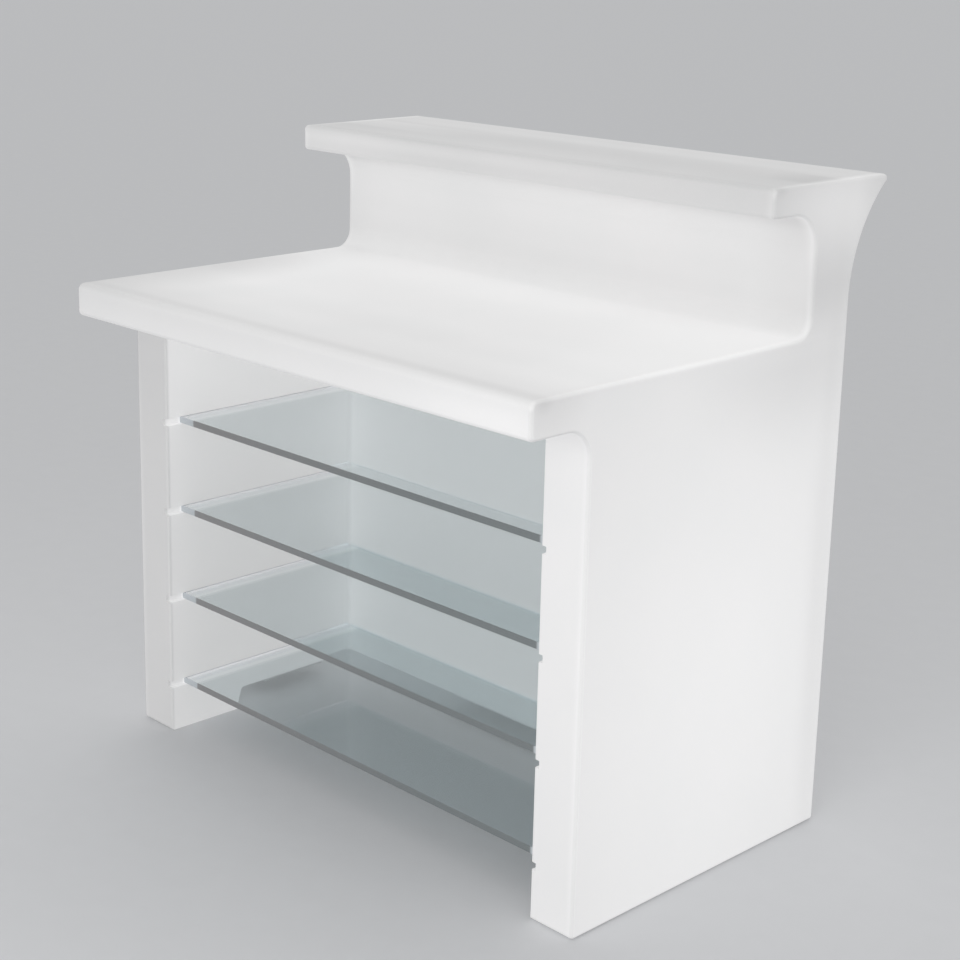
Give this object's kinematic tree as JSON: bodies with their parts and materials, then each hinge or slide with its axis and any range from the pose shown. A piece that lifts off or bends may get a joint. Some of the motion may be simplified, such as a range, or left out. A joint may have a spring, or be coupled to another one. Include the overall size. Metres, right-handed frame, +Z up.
{
  "type": "lit bar counter",
  "caption": "Free-standing hollow moulded bar counter, lit from inside, with a raised bar top, a worktop and glass shelves that slide out on the bartender's side.",
  "frame": {"origin": "on the floor, below the middle of the counter's bounding box", "axes": "+X along the counter to the bartender's right, -Y towards the bartender, +Y towards the customer, +Z up"},
  "size_m": [1.1, 0.8156, 1.1],
  "materials": {
    "polyethylene": "fine satin as moulded, translucent and lit from inside",
    "shelf_glass": "toughened float glass, grey green tint, ground edges",
    "pad_rubber": "matt black rubber",
    "cover_sheet": "pale grey powder coat",
    "gasket_foam": "closed cell foam",
    "screw_zinc": "zinc plated",
    "lamp_aluminium": "extruded, satin",
    "circuit_board": "white solder mask",
    "opal_acrylic": "opal, lit from inside",
    "driver_plastic": "fine moulded texture",
    "gland_nylon": "moulded nylon",
    "lead_sheath": "smooth PVC"
  },
  "bodies": {
    "counter": {"body_shell": "polyethylene", "foot_pad_front_left": "pad_rubber", "foot_pad_front_right": "pad_rubber", "foot_pad_rear_left": "pad_rubber", "foot_pad_rear_right": "pad_rubber", "lamp_cover_left": "cover_sheet", "lamp_cover_right": "cover_sheet", "lamp_cover_front": "cover_sheet", "cover_gasket_left": "gasket_foam", "cover_gasket_right": "gasket_foam", "cover_gasket_front": "gasket_foam", "cover_screw_left_1": "screw_zinc", "cover_screw_left_2": "screw_zinc", "cover_screw_left_3": "screw_zinc", "cover_screw_left_4": "screw_zinc", "cover_screw_right_1": "screw_zinc", "cover_screw_right_2": "screw_zinc", "cover_screw_right_3": "screw_zinc", "cover_screw_right_4": "screw_zinc", "cover_screw_front_1": "screw_zinc", "cover_screw_front_2": "screw_zinc", "cover_screw_front_3": "screw_zinc", "cover_screw_front_4": "screw_zinc", "lamp_foot_left": "lamp_aluminium", "lamp_foot_right": "lamp_aluminium", "lamp_foot_front": "lamp_aluminium", "led_channel_left": "lamp_aluminium", "led_channel_right": "lamp_aluminium", "led_channel_front": "lamp_aluminium", "led_board_left": "circuit_board", "led_board_right": "circuit_board", "led_board_front": "circuit_board", "diffuser_left": "opal_acrylic", "diffuser_right": "opal_acrylic", "diffuser_front": "opal_acrylic", "lamp_cap_left": "driver_plastic", "lamp_cap_right": "driver_plastic", "lamp_cap_front": "driver_plastic", "driver_case": "driver_plastic", "driver_lid": "driver_plastic", "cable_gland": "gland_nylon", "gland_nut": "gland_nylon", "lead_left": "lead_sheath", "lead_right": "lead_sheath", "lead_front": "lead_sheath"},
    "shelf_1": {"shelf_1": "shelf_glass"},
    "shelf_2": {"shelf_2": "shelf_glass"},
    "shelf_3": {"shelf_3": "shelf_glass"},
    "shelf_4": {"shelf_4": "shelf_glass"}
  },
  "joints": [
    {"name": "shelf_1_slide", "type": "slide", "parent": "counter", "child": "shelf_1", "axis": [0, -1, 0], "range_m": [0, 0.42]},
    {"name": "shelf_2_slide", "type": "slide", "parent": "counter", "child": "shelf_2", "axis": [0, -1, 0], "range_m": [0, 0.42]},
    {"name": "shelf_3_slide", "type": "slide", "parent": "counter", "child": "shelf_3", "axis": [0, -1, 0], "range_m": [0, 0.42]},
    {"name": "shelf_4_slide", "type": "slide", "parent": "counter", "child": "shelf_4", "axis": [0, -1, 0], "range_m": [0, 0.42]}
  ]
}
